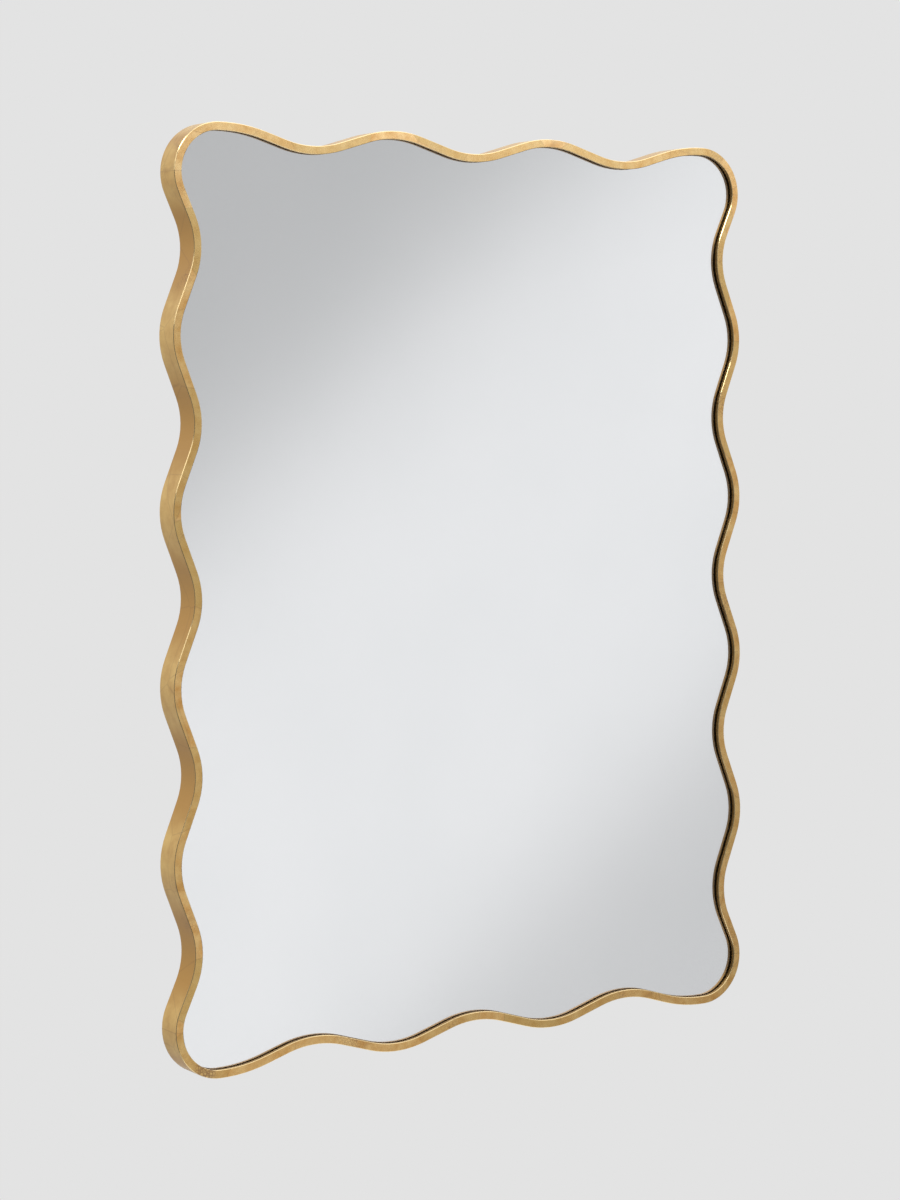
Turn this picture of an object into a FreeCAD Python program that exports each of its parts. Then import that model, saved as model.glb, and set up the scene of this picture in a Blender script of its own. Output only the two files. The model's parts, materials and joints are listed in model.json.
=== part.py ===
import FreeCAD, Part
import math
import os
import Sketcher

# Wavy-edged wall mirror in a narrow gilded steel frame.
#
# Frame of reference: X to the right and Z up as seen from the front, Y away from the
# viewer. The origin is the middle of the wall plane, so the mirror lies in Y < 0.
#
# The outline is a run of circular arcs joined by straight flanks that touch them: crests
# bulge outwards, valleys bend inwards. An outline set back from it keeps the same arc
# centres, so every band, sheet and tape below is drawn from one list of arcs.

Vector = FreeCAD.Vector
Rotation = FreeCAD.Rotation

doc = FreeCAD.newDocument("wavy_mirror")

# --------------------------------------------------------------------------- sizes, in mm

DRIVING = {
    # overall
    "overall_width": 762.0,
    "overall_height": 1016.0,
    "overall_depth": 32.0,
    # waves of the two long sides
    "side_wave_height": 25.0,      # crest to valley
    "side_flank": 38.0,            # straight run between a crest and a valley
    "corner_flank": 30.0,          # the same, between the last valley and the corner
    # waves of the top and the bottom
    "end_wave_height": 21.0,
    "end_flank": 37.0,
    "shoulder_flank": 26.0,        # between the shoulder and the first valley
    # corners: a tight arc that runs into a flatter shoulder on the top or the bottom
    "corner_radius": 54.0,
    "corner_inset": 1.5,           # corner crest, back from the side crests
    "shoulder_radius": 188.0,
    "shoulder_shift": 2.8,         # shoulder centre, inwards of the corner centre
    # frame section
    "face_width": 9.0,
    "face_thickness": 4.0,
    "face_bevel": 0.6,
    "rim_thickness": 2.0,
    # glazing
    "sealing_thickness": 0.5,
    "sealing_width": 4.0,
    "sealing_setback": 1.0,        # behind the edge of the face
    "glass_thickness": 3.0,
    "glass_clearance": 1.5,        # glass to rim, all round
    "glass_arris": 0.4,
    "bonding_thickness": 1.0,
    "bonding_width": 25.0,
    "bonding_side_margin": 94.0,   # middle of an outer tape, from the rim of its side
    "bonding_end_margin": 165.0,   # end of every tape, from the rim of its end
    "board_thickness": 6.0,
    "board_clearance": 1.5,
    # retaining lugs
    "lug_width": 16.0,
    "lug_reach": 18.0,
    "lug_leg": 11.0,
    "lug_thickness": 1.5,
    "lug_screw_inset": 11.0,
    # hanger plates
    "plate_width": 52.0,
    "plate_reach": 46.0,
    "plate_leg": 12.0,
    "plate_leg_width": 36.0,
    "plate_thickness": 2.0,
    "plate_screw_inset": 39.5,
    "plate_screw_spread": 38.0,
    # strap that carries the ring
    "strap_width": 14.0,
    "strap_gauge": 1.2,            # one layer of the folded strip
    "strap_length": 37.5,          # from the bar of the ring
    "strap_inset": 23.0,           # middle of the strap, from the rim
    "strap_rise": 16.0,            # bar of the ring, off the middle of the plate
    "strap_taper": 6.5,            # from the bar to where the two layers meet
    "rivet_inset": 22.0,           # first rivet, from the bar
    "rivet_spacing": 10.0,
    # ring
    "ring_wire": 3.0,
    "ring_span": 20.0,             # width of the D, middle of the wire
    "ring_side": 6.0,
    "ring_corner": 2.5,
    "ring_clearance": 0.08,        # bar to strap
    "ring_rest_angle": 5.0,        # the hanging ring leans on its strap
    # screws
    "screw_head": 7.0,
    "screw_head_height": 2.2,
    "screw_crown": 5.2,            # flat top of the head
    "screw_shank": 3.5,
    "screw_length": 6.5,
    "screw_point": 1.5,
    "screw_hole_clearance": 0.3,
    "screw_slot_length": 3.8,
    "screw_slot_width": 0.8,
    "screw_slot_depth": 1.2,
    # rivets
    "rivet_shank": 3.2,
    "rivet_head": 6.5,
    "rivet_head_height": 1.2,
    "rivet_shoulder": 5.5,         # the domed head, where its side ends
    "rivet_shoulder_height": 0.7,
    "rivet_crown": 3.2,            # flat top of the head
    "rivet_tail": 5.5,
    "rivet_tail_height": 1.5,
    "rivet_relief": 1.0,           # board cut away round and under a rivet tail
}

SIDE_WAVES = 2                     # whole waves from the middle of a side to its last valley
END_WAVES = 1                      # the same for the top and the bottom
BONDING_TAPES = ("far_left", "left", "middle", "right", "far_right")

# Sizes that follow from the driving ones. Along a side the flank length fixes the bend
# radius for a given wave, R = ((pitch / 2)^2 + height^2 - flank^2) / (4 height), and the
# pitch is the one that brings the last flank tangent to the corner arc.
DERIVED = {
    "half_width": "overall_width / 2",
    "half_height": "overall_height / 2",
    "corner_x": "half_width - corner_inset - corner_radius",
    "shoulder_x": "corner_x - shoulder_shift",
    "shoulder_z": "half_height - shoulder_radius",
    "corner_z": "shoulder_z + sqrt((shoulder_radius - corner_radius)^2 - shoulder_shift^2)",
    "corner_drop": "side_wave_height - corner_inset",
    "side_reach": "corner_flank^2 - corner_drop^2 + 2 * corner_drop * (corner_radius - face_width / 2)"
                  " + corner_drop * (side_wave_height^2 - side_flank^2) / (2 * side_wave_height)",
    "side_share": f"{SIDE_WAVES}^2 - corner_drop / (8 * side_wave_height)",
    "side_pitch": f"({SIDE_WAVES} * corner_z - sqrt({SIDE_WAVES}^2 * corner_z^2"
                  " - side_share * (corner_z^2 - side_reach))) / side_share",
    "side_bend": "(side_pitch^2 / 4 + side_wave_height^2 - side_flank^2) / (4 * side_wave_height)",
    "side_crest_radius": "side_bend + face_width / 2",
    "side_valley_radius": "side_bend - face_width / 2",
    "side_crest_x": "half_width - side_crest_radius",
    "side_valley_x": "half_width - side_wave_height + side_valley_radius",
    "end_reach": "shoulder_flank^2 - end_wave_height^2"
                 " + 2 * end_wave_height * (shoulder_radius - face_width / 2)"
                 " + (end_wave_height^2 - end_flank^2) / 2",
    "end_share": f"{END_WAVES}^2 - 1 / 8",
    "end_pitch": f"({END_WAVES} * shoulder_x - sqrt({END_WAVES}^2 * shoulder_x^2"
                 " - end_share * (shoulder_x^2 - end_reach))) / end_share",
    "end_bend": "(end_pitch^2 / 4 + end_wave_height^2 - end_flank^2) / (4 * end_wave_height)",
    "end_crest_radius": "end_bend + face_width / 2",
    "end_valley_radius": "end_bend - face_width / 2",
    "end_crest_z": "half_height - end_crest_radius",
    "end_valley_z": "half_height - end_wave_height + end_valley_radius",
    # depths, from the wall plane forward
    "front_y": "-overall_depth",
    "rim_front_y": "front_y + face_thickness",
    "glass_y": "rim_front_y + sealing_thickness",
    "bonding_y": "glass_y + glass_thickness",
    "board_y": "bonding_y + bonding_thickness",
    "back_y": "board_y + board_thickness",
    "hanger_y": "back_y + plate_thickness",
    # outlines, set back from the outer one
    "glass_setback": "rim_thickness + glass_clearance",
    "board_setback": "rim_thickness + board_clearance",
    "sealing_inner": "face_width - sealing_setback",
    "sealing_outer": "sealing_inner - sealing_width",
    # inner wall of the rim in the middle of a valley
    "side_wall": "half_width - side_wave_height - rim_thickness",
    "side_wall_radius": "side_valley_radius + rim_thickness",
    "end_wall": "half_height - end_wave_height - rim_thickness",
    "end_wall_radius": "end_valley_radius + rim_thickness",
    # bonding tapes, spread evenly between the two outer ones
    "bonding_spacing": f"(side_wall - bonding_side_margin) * 2 / {len(BONDING_TAPES) - 1}",
    "bonding_half_run": "end_wall - bonding_end_margin",
    # ring and strap
    "eye_radius": "ring_wire / 2 + ring_clearance",
    "bar_height": "eye_radius + strap_gauge",
    "strap_stack": "2 * strap_gauge",
}

sizes = doc.addObject("Spreadsheet::Sheet", "sizes")


def fill_sheet():
    """Write every size into the sheet, one row each: its name, its value, its alias."""
    rows = [(name, str(value)) for name, value in DRIVING.items()]
    rows += [(name, "=" + formula) for name, formula in DERIVED.items()]
    for row, (name, content) in enumerate(rows, start=1):
        sizes.set(f"A{row}", name)
        sizes.set(f"B{row}", content)
        sizes.setAlias(f"B{row}", name)


fill_sheet()
doc.recompute()


def number(expression):
    """Present value of an expression such as 'sizes.face_width / 2'."""
    return float(sizes.evalExpression(expression.replace("sizes.", "")))


# ------------------------------------------------------------------------ sketch helpers

ORIGIN = (-1, 1)


def axis_across():
    """The first axis of a sketch, as a sketch numbers it."""
    return -1


def axis_up():
    """The second axis of a sketch."""
    return -2


def datum(body, role):
    return next(item for item in body.Origin.OriginFeatures if item.Role == role)


def new_sketch(body, name, role="XZ_Plane", level=None):
    """Sketch on an origin plane, moved along Y to the depth that level gives."""
    sketch = body.newObject("Sketcher::SketchObject", name)
    sketch.AttachmentSupport = [(datum(body, role), "")]
    sketch.MapMode = "FlatFace"
    if level:
        sketch.AttachmentOffset = FreeCAD.Placement(Vector(0, 0, -number(level)), Rotation())
        sketch.setExpression("AttachmentOffset.Base.z", f"-({level})")
    return sketch


def dimension(sketch, kind, *where):
    """Add a dimension bound to the expression that ends the call."""
    *geometry, expression = where
    index = sketch.addConstraint(Sketcher.Constraint(kind, *geometry, number(expression)))
    sketch.setExpression(f"Constraints[{index}]", expression)


def rule(sketch, kind, *where):
    sketch.addConstraint(Sketcher.Constraint(kind, *where))


def place_point(sketch, geometry, vertex, across, up):
    """Pin a point by its distances from the origin; None keeps it on that axis."""
    if up is None:
        rule(sketch, "PointOnObject", geometry, vertex, axis_across())
    else:
        dimension(sketch, "DistanceY", *ORIGIN, geometry, vertex, up)
    if across is None:
        rule(sketch, "PointOnObject", geometry, vertex, axis_up())
    else:
        dimension(sketch, "DistanceX", *ORIGIN, geometry, vertex, across)


def add_circle(sketch, across, up, diameter):
    centre = Vector(number(across) if across else 0, number(up) if up else 0, 0)
    circle = sketch.addGeometry(Part.Circle(centre, Vector(0, 0, 1), number(diameter) / 2))
    place_point(sketch, circle, 3, across, up)
    dimension(sketch, "Diameter", circle, diameter)
    return circle


def add_polygon(sketch, corners):
    """Closed run of straight lines through the corners, each an (across, up) pair."""
    points = [Vector(number(a) if a else 0, number(u) if u else 0, 0) for a, u in corners]
    lines = []
    for start, end in zip(points, points[1:] + points[:1]):
        lines.append(sketch.addGeometry(Part.LineSegment(start, end)))
    for line, following in zip(lines, lines[1:] + lines[:1]):
        rule(sketch, "Coincident", line, 2, following, 1)
    for line, (across, up) in zip(lines, corners):
        place_point(sketch, line, 1, across, up)
    return lines


def new_body(label):
    body = doc.addObject("PartDesign::Body", label)
    body.Label = label
    return body


def add_pad(body, sketch, thickness):
    """Thicken a sketch towards the wall."""
    pad = body.newObject("PartDesign::Pad", sketch.Name + "_pad")
    pad.Profile = sketch
    pad.Length = number(thickness)
    pad.setExpression("Length", thickness)
    pad.Reversed = True
    body.Tip = pad
    return pad


def add_pocket(body, sketch, depth, towards_wall=False):
    """Cut a sketch forwards, or towards the wall."""
    pocket = body.newObject("PartDesign::Pocket", sketch.Name + "_pocket")
    pocket.Profile = sketch
    pocket.Length = number(depth)
    pocket.setExpression("Length", depth)
    pocket.Reversed = not towards_wall
    body.Tip = pocket
    return pocket


def add_mirror(body, feature, role):
    """Reflect the whole body in one of its origin planes."""
    mirror = body.newObject("PartDesign::Mirrored", feature.Name + "_" + role[:2].lower())
    mirror.Originals = [feature]
    mirror.MirrorPlane = (datum(body, role), [""])
    mirror.TransformMode = "Whole shape"
    mirror.Refine = True
    body.Tip = mirror
    return mirror


def place(item, across=None, depth=None, up=None, turn=0.0, tilt=0.0):
    """Set a placement: turned about Y and tilted about X, at expressions for X, Y and Z."""
    item.Placement = FreeCAD.Placement(Vector(), Rotation(Vector(0, 1, 0), turn)
                                       * Rotation(Vector(1, 0, 0), tilt))
    for axis, expression in zip("xyz", (across, depth, up)):
        if expression:
            item.setExpression(f"Placement.Base.{axis}", expression)


# ------------------------------------------------------------------------ the wavy outline

def side_arcs():
    """Arcs of the right side, from its middle valley up to its last one."""
    arcs = []
    for half in range(2 * SIDE_WAVES + 1):
        level = f"sizes.side_pitch * {half} / 2" if half else None
        if half % 2:
            arcs.append(("sizes.side_crest_x", level, "sizes.side_crest_radius", 1))
        else:
            arcs.append(("sizes.side_valley_x", level, "sizes.side_valley_radius", -1))
    return arcs


def end_arcs():
    """Arcs of the top, from the shoulder to its middle valley."""
    arcs = [("sizes.shoulder_x", "sizes.shoulder_z", "sizes.shoulder_radius", 1)]
    for half in range(2 * END_WAVES, -1, -1):
        across = f"sizes.end_pitch * {half} / 2" if half else None
        if half % 2:
            arcs.append((across, "sizes.end_crest_z", "sizes.end_crest_radius", 1))
        else:
            arcs.append((across, "sizes.end_valley_z", "sizes.end_valley_radius", -1))
    return arcs


CORNER = ("sizes.corner_x", "sizes.corner_z", "sizes.corner_radius", 1)


def touch_points(first, second):
    """Where the flank between two neighbouring arcs touches each of them.

    An arc is (centre, radius, sense). With the flank's left normal m, the second centre
    lies sense * radius apart from the first along m, which gives m from the centre line.
    """
    (centre, radius, sense), (next_centre, next_radius, next_sense) = first, second
    line = next_centre - centre
    span = line.Length
    ahead = line.normalize()
    left = Vector(-ahead.y, ahead.x, 0)
    lean = math.asin(max(-1.0, min(1.0, (next_sense * next_radius - sense * radius) / span)))
    normal = left * math.cos(lean) + ahead * math.sin(lean)
    return centre - normal * (sense * radius), next_centre - normal * (next_sense * next_radius)


def measured(arcs, setback):
    """Centres, radii and senses of the arcs of the outline set back by so much."""
    found = []
    for across, up, radius, sense in arcs:
        centre = Vector(number(across) if across else 0, number(up) if up else 0, 0)
        found.append((centre, number(radius) - sense * setback, sense))
    return found


def add_outline(sketch, arcs, setback=None, follows=None):
    """Draw the arcs and flanks of an outline, counter-clockwise, tangent throughout.

    setback is an expression; follows lists the arcs of an outline already in the sketch
    whose centres this one shares. Returns the arcs, and the vertex that starts the first
    arc and the one that ends the last.
    """
    real = measured(arcs, number(setback) if setback else 0.0)
    corner = arcs.index(CORNER)
    starts, ends = [], []
    for index, (centre, radius, sense) in enumerate(real):
        if index == 0:
            starts.append(centre + Vector(sense * radius, 0, 0))
        if index == len(real) - 1:
            at_seam = index == corner
            ends.append(centre + (Vector(radius, 0, 0) if at_seam else Vector(0, sense * radius, 0)))
            continue
        leave, arrive = touch_points(real[index], real[index + 1])
        ends.append(leave)
        starts.append(arrive)
    drawn = []
    for (centre, radius, sense), start, end in zip(real, starts, ends):
        low, high = (start, end) if sense > 0 else (end, start)
        angles = [math.atan2(*reversed((point - centre)[:2])) for point in (low, high)]
        circle = Part.Circle(centre, Vector(0, 0, 1), radius)
        drawn.append(sketch.addGeometry(Part.ArcOfCircle(circle, *angles)))
    entry = [1 if sense > 0 else 2 for _, _, sense in real]
    leaving = [3 - vertex for vertex in entry]
    shoulder = corner + 1 if corner + 1 < len(arcs) else None
    for index, (across, up, radius, sense) in enumerate(arcs):
        arc = drawn[index]
        if follows:
            rule(sketch, "Coincident", arc, 3, follows[index], 3)
        elif index == corner and shoulder:
            dimension(sketch, "DistanceX", *ORIGIN, arc, 3, across)
        else:
            place_point(sketch, arc, 3, across, up)
        if not (follows and index == shoulder):
            shrink = f" - {sense} * ({setback})" if setback else ""
            dimension(sketch, "Radius", arc, radius + shrink)
    for index in range(len(arcs) - 1):
        here, following = drawn[index], drawn[index + 1]
        if index + 1 == shoulder:
            rule(sketch, "Tangent", here, leaving[index], following, entry[index + 1])
            continue
        flank = sketch.addGeometry(Part.LineSegment(ends[index], starts[index + 1]))
        rule(sketch, "Tangent", here, leaving[index], flank, 1)
        rule(sketch, "Tangent", flank, 2, following, entry[index + 1])
    if corner == 0:
        rule(sketch, "Horizontal", drawn[0], entry[0], drawn[0], 3)
    else:
        rule(sketch, "PointOnObject", drawn[0], entry[0], axis_across())
    if corner == len(arcs) - 1:
        rule(sketch, "Horizontal", drawn[-1], leaving[-1], drawn[-1], 3)
    else:
        rule(sketch, "PointOnObject", drawn[-1], leaving[-1], axis_up())
    return drawn, (drawn[0], entry[0]), (drawn[-1], leaving[-1])


def vertex_at(sketch, vertex):
    return sketch.getPoint(*vertex)


def join(sketch, first, second):
    """Straight line between two vertices of the sketch."""
    line = sketch.addGeometry(Part.LineSegment(vertex_at(sketch, first), vertex_at(sketch, second)))
    rule(sketch, "Coincident", *first, line, 1)
    rule(sketch, "Coincident", line, 2, *second)


def band(label, arcs, outer, inner, level, thickness, role):
    """Half of a band between two setbacks, padded and reflected into a whole rail piece."""
    body = new_body(label)
    sketch = new_sketch(body, label + "_sketch", level=level)
    outside, outside_start, outside_end = add_outline(sketch, arcs, outer)
    _, inside_start, inside_end = add_outline(sketch, arcs, inner, follows=outside)
    join(sketch, outside_end, inside_end)
    join(sketch, outside_start, inside_start)
    pad = add_pad(body, sketch, thickness)
    add_mirror(body, pad, role)
    return body


def sheet_body(label, setback, level, thickness):
    """Quarter of the whole outline with its two axes, padded and reflected twice."""
    body = new_body(label)
    sketch = new_sketch(body, label + "_sketch", level=level)
    _, start, end = add_outline(sketch, side_arcs() + [CORNER] + end_arcs(), setback)
    for vertex in (start, end):
        line = sketch.addGeometry(Part.LineSegment(Vector(), vertex_at(sketch, vertex)))
        rule(sketch, "Coincident", line, 1, *ORIGIN)
        rule(sketch, "Coincident", line, 2, *vertex)
    pad = add_pad(body, sketch, thickness)
    upper = add_mirror(body, pad, "YZ_Plane")
    add_mirror(body, upper, "XY_Plane")
    return body


# ------------------------------------------------------------------------------ the frame
# Each of the four rails is a bent strip, the rim, with a flat bevelled face welded to its
# front. The rails meet at the widest point of each corner. All are drawn as the right one
# or the top one, and the left and the bottom one are then turned half round.

parts = {}

RAILS = {
    "right": (side_arcs() + [CORNER], "XY_Plane"),
    "left": (side_arcs() + [CORNER], "XY_Plane"),
    "top": ([CORNER] + end_arcs(), "YZ_Plane"),
    "bottom": ([CORNER] + end_arcs(), "YZ_Plane"),
}


def add_bevel(body):
    """Break the two long front edges of a face rail."""
    front = number("sizes.front_y")
    seam = number("sizes.corner_z")
    tip = body.Tip
    names = []
    for index, edge in enumerate(tip.Shape.Edges, start=1):
        in_front = all(abs(vertex.Y - front) < 1e-6 for vertex in edge.Vertexes)
        on_seam = all(abs(abs(vertex.Z) - seam) < 1e-6 for vertex in edge.Vertexes)
        if in_front and not on_seam:
            names.append(f"Edge{index}")
    bevel = body.newObject("PartDesign::Chamfer", body.Name + "_bevel")
    bevel.Base = (tip, names)
    bevel.Size = number("sizes.face_bevel")
    bevel.setExpression("Size", "sizes.face_bevel")
    body.Tip = bevel


def build_rails():
    for rail, (arcs, role) in RAILS.items():
        turn = 180.0 if rail in ("left", "bottom") else 0.0
        face = band(f"face_rail_{rail}", arcs, None, "sizes.face_width",
                    "sizes.front_y", "sizes.face_thickness", role)
        doc.recompute()
        add_bevel(face)
        rim = band(f"rim_strip_{rail}", arcs, None, "sizes.rim_thickness",
                   "sizes.rim_front_y", "-sizes.rim_front_y", role)
        seal = band(f"glazing_tape_{rail}", arcs, "sizes.sealing_outer", "sizes.sealing_inner",
                    "sizes.rim_front_y", "sizes.sealing_thickness", role)
        for body in (face, rim, seal):
            place(body, turn=turn)
            parts[body.Label] = body


build_rails()


# ---------------------------------------------------------------- hardware along the rails
# A station is the middle of a valley, where a lug or a hanger plate is welded to the rim.
# Its own frame has X inwards from the wall of the rim and Z along the rail.

SIDE_WALL = ("sizes.side_wall", "sizes.side_wall_radius")
END_WALL = ("sizes.end_wall", "sizes.end_wall_radius")
TURN = {"left": 0.0, "right": 180.0, "bottom": -90.0, "top": 90.0}


def along(count, pitch):
    """Distance of a valley from the middle of its rail."""
    return f"{count} * sizes.{pitch}" if count else None


def station(rail, distance):
    """Where on the rim a station is, as expressions for X and Z."""
    wall = "sizes.side_wall" if rail in ("left", "right") else "sizes.end_wall"
    outward = wall if rail in ("right", "top") else "-" + wall
    return (outward, distance) if rail in ("left", "right") else (distance, outward)


LUGS = {
    "left_upper": ("left", along(2, "side_pitch")),
    "left_middle": ("left", None),
    "left_lower": ("left", along(-2, "side_pitch")),
    "right_upper": ("right", along(2, "side_pitch")),
    "right_middle": ("right", None),
    "right_lower": ("right", along(-2, "side_pitch")),
    "top_left": ("top", along(-1, "end_pitch")),
    "top_middle": ("top", None),
    "bottom_left": ("bottom", along(-1, "end_pitch")),
    "bottom_middle": ("bottom", None),
}

# A hanger's strap runs down from the ring's bar: towards -Z for the pair that hangs the
# mirror upright, towards -X for the pair that hangs it on its side.
HANGERS = {
    "upright_left": ("left", along(1, "side_pitch"), 1),
    "upright_right": ("right", along(1, "side_pitch"), -1),
    "sideways_top": ("top", along(1, "end_pitch"), 1),
    "sideways_bottom": ("bottom", along(1, "end_pitch"), -1),
}


def add_wall_piece(body, name, wall_radius, width, reach, thickness, is_leg):
    """Foot on the board, or leg against the rim; both follow the bend of the rim."""
    sketch = new_sketch(body, name, level="sizes.back_y")
    radius = number(wall_radius)
    half = number(width) / 2
    angle = math.asin(half / radius)
    centre = Vector(-radius, 0, 0)
    circle = Part.Circle(centre, Vector(0, 0, 1), radius)
    wall = sketch.addGeometry(Part.ArcOfCircle(circle, -angle, angle))
    place_point(sketch, wall, 3, f"-{wall_radius}", None)
    dimension(sketch, "Radius", wall, wall_radius)
    low, high = vertex_at(sketch, (wall, 1)), vertex_at(sketch, (wall, 2))
    if is_leg:
        outer_radius = radius + number(reach)
        outer_angle = math.asin(half / outer_radius)
        circle = Part.Circle(centre, Vector(0, 0, 1), outer_radius)
        far = sketch.addGeometry(Part.ArcOfCircle(circle, -outer_angle, outer_angle))
        rule(sketch, "Coincident", far, 3, wall, 3)
        dimension(sketch, "Radius", far, f"{wall_radius} + {reach}")
    else:
        across = number(reach)
        far = sketch.addGeometry(Part.LineSegment(Vector(across, low.y, 0), Vector(across, high.y, 0)))
        rule(sketch, "Vertical", far)
        dimension(sketch, "DistanceX", *ORIGIN, far, 1, reach)
    for vertex in (1, 2):
        line = sketch.addGeometry(Part.LineSegment(vertex_at(sketch, (wall, vertex)),
                                                   vertex_at(sketch, (far, vertex))))
        rule(sketch, "Coincident", wall, vertex, line, 1)
        rule(sketch, "Coincident", line, 2, far, vertex)
        rule(sketch, "Horizontal", line)
    dimension(sketch, "DistanceY", wall, 1, wall, 2, width)
    rule(sketch, "Symmetric", wall, 1, wall, 2, axis_across())
    return add_pad(body, sketch, thickness)


def add_holes(body, name, level, depth, holes):
    """Round holes, each an (across, up, diameter) triple, cut forwards from a level."""
    sketch = new_sketch(body, name, level=level)
    for across, up, diameter in holes:
        add_circle(sketch, across, up, diameter)
    return add_pocket(body, sketch, depth)


SCREW_HOLE = "sizes.screw_shank + sizes.screw_hole_clearance"
PLATE_SCREWS = [("sizes.plate_screw_inset", f"{sign} * sizes.plate_screw_spread / 2")
                for sign in (-1, 1)]


def rivet_offset(sense, index):
    """Distance of a rivet from the middle of its hanger plate."""
    return f"{sense} * (sizes.strap_rise - sizes.rivet_inset - {index} * sizes.rivet_spacing)"


def build_lug(name, rail, distance):
    _, wall_radius = SIDE_WALL if rail in ("left", "right") else END_WALL
    body = new_body("retaining_lug_" + name)
    label = body.Label
    add_wall_piece(body, label + "_foot", wall_radius, "sizes.lug_width", "sizes.lug_reach",
                   "sizes.lug_thickness", is_leg=False)
    add_wall_piece(body, label + "_leg", wall_radius, "sizes.lug_width", "sizes.lug_thickness",
                   "sizes.lug_leg", is_leg=True)
    add_holes(body, label + "_hole", "sizes.back_y + sizes.lug_thickness", "sizes.lug_thickness",
              [("sizes.lug_screw_inset", None, SCREW_HOLE)])
    across, up = station(rail, distance)
    place(body, across=across, up=up, turn=TURN[rail])
    parts[label] = body


def build_hanger_plate(name, rail, distance, sense):
    _, wall_radius = SIDE_WALL if rail in ("left", "right") else END_WALL
    body = new_body("hanger_plate_" + name)
    label = body.Label
    add_wall_piece(body, label + "_foot", wall_radius, "sizes.plate_width", "sizes.plate_reach",
                   "sizes.plate_thickness", is_leg=False)
    add_wall_piece(body, label + "_leg", wall_radius, "sizes.plate_leg_width",
                   "sizes.plate_thickness", "sizes.plate_leg", is_leg=True)
    holes = [(across, up, SCREW_HOLE) for across, up in PLATE_SCREWS]
    holes += [("sizes.strap_inset", rivet_offset(sense, index), "sizes.rivet_shank")
              for index in (0, 1)]
    add_holes(body, label + "_holes", "sizes.hanger_y", "sizes.plate_thickness", holes)
    across, up = station(rail, distance)
    place(body, across=across, up=up, turn=TURN[rail])
    parts[label] = body


for lug_name, (lug_rail, lug_distance) in LUGS.items():
    build_lug(lug_name, lug_rail, lug_distance)
for hanger_name, (hanger_rail, hanger_distance, hanger_sense) in HANGERS.items():
    build_hanger_plate(hanger_name, hanger_rail, hanger_distance, hanger_sense)


def plus(*terms):
    """Sum of expressions, leaving out the empty ones."""
    return " + ".join(f"({term})" for term in terms if term) or None


def from_station(rail, distance, inward, sideways):
    """Front-view position of a point given in a station's own frame."""
    across, up = station(rail, distance)
    moves = {
        "left": (inward, sideways),
        "right": (f"-({inward})", f"-({sideways})" if sideways else None),
        "bottom": (f"-({sideways})" if sideways else None, inward),
        "top": (sideways, f"-({inward})"),
    }
    across_move, up_move = moves[rail]
    return plus(across, across_move), plus(up, up_move)


# ------------------------------------------------------------------------ mirror and board

def build_glass():
    body = sheet_body("mirror_glass", "sizes.glass_setback", "sizes.glass_y", "sizes.glass_thickness")
    doc.recompute()
    tip = body.Tip
    front = number("sizes.glass_y")
    names = [f"Edge{index}" for index, edge in enumerate(tip.Shape.Edges, start=1)
             if all(abs(vertex.Y - front) < 1e-6 for vertex in edge.Vertexes)]
    arris = body.newObject("PartDesign::Chamfer", "glass_arris")
    arris.Base = (tip, names)
    arris.Size = number("sizes.glass_arris")
    arris.setExpression("Size", "sizes.glass_arris")
    body.Tip = arris
    parts[body.Label] = body


def build_bonding_tapes():
    """Upright foam tapes that hold the glass on the board."""
    for index, name in enumerate(BONDING_TAPES):
        body = new_body("bonding_tape_" + name)
        sketch = new_sketch(body, body.Label + "_sketch", level="sizes.bonding_y")
        half_width, half_run = "sizes.bonding_width / 2", "sizes.bonding_half_run"
        add_polygon(sketch, [("-" + half_width, "-" + half_run), (half_width, "-" + half_run),
                             (half_width, half_run), ("-" + half_width, half_run)])
        add_pad(body, sketch, "sizes.bonding_thickness")
        place(body, across=f"({index} - {len(BONDING_TAPES) - 1} / 2) * sizes.bonding_spacing")
        parts[body.Label] = body


def build_board():
    body = sheet_body("backing_board", "sizes.board_setback", "sizes.board_y",
                      "sizes.board_thickness")
    screws, rivets = [], []
    for rail, distance in LUGS.values():
        spot = from_station(rail, distance, "sizes.lug_screw_inset", None)
        screws.append((*spot, "sizes.screw_shank"))
    for rail, distance, sense in HANGERS.values():
        for inset, spread in PLATE_SCREWS:
            screws.append((*from_station(rail, distance, inset, spread), "sizes.screw_shank"))
        for index in (0, 1):
            spot = from_station(rail, distance, "sizes.strap_inset", rivet_offset(sense, index))
            rivets.append((*spot, "sizes.rivet_tail + 2 * sizes.rivet_relief"))
    add_holes(body, "pilot_holes", "sizes.back_y", "sizes.board_thickness", screws)
    add_holes(body, "rivet_reliefs", "sizes.back_y", "sizes.rivet_tail_height + sizes.rivet_relief",
              rivets)
    parts[body.Label] = body


build_glass()
build_bonding_tapes()
build_board()


# ---------------------------------------------------------------------- straps and rings

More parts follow.
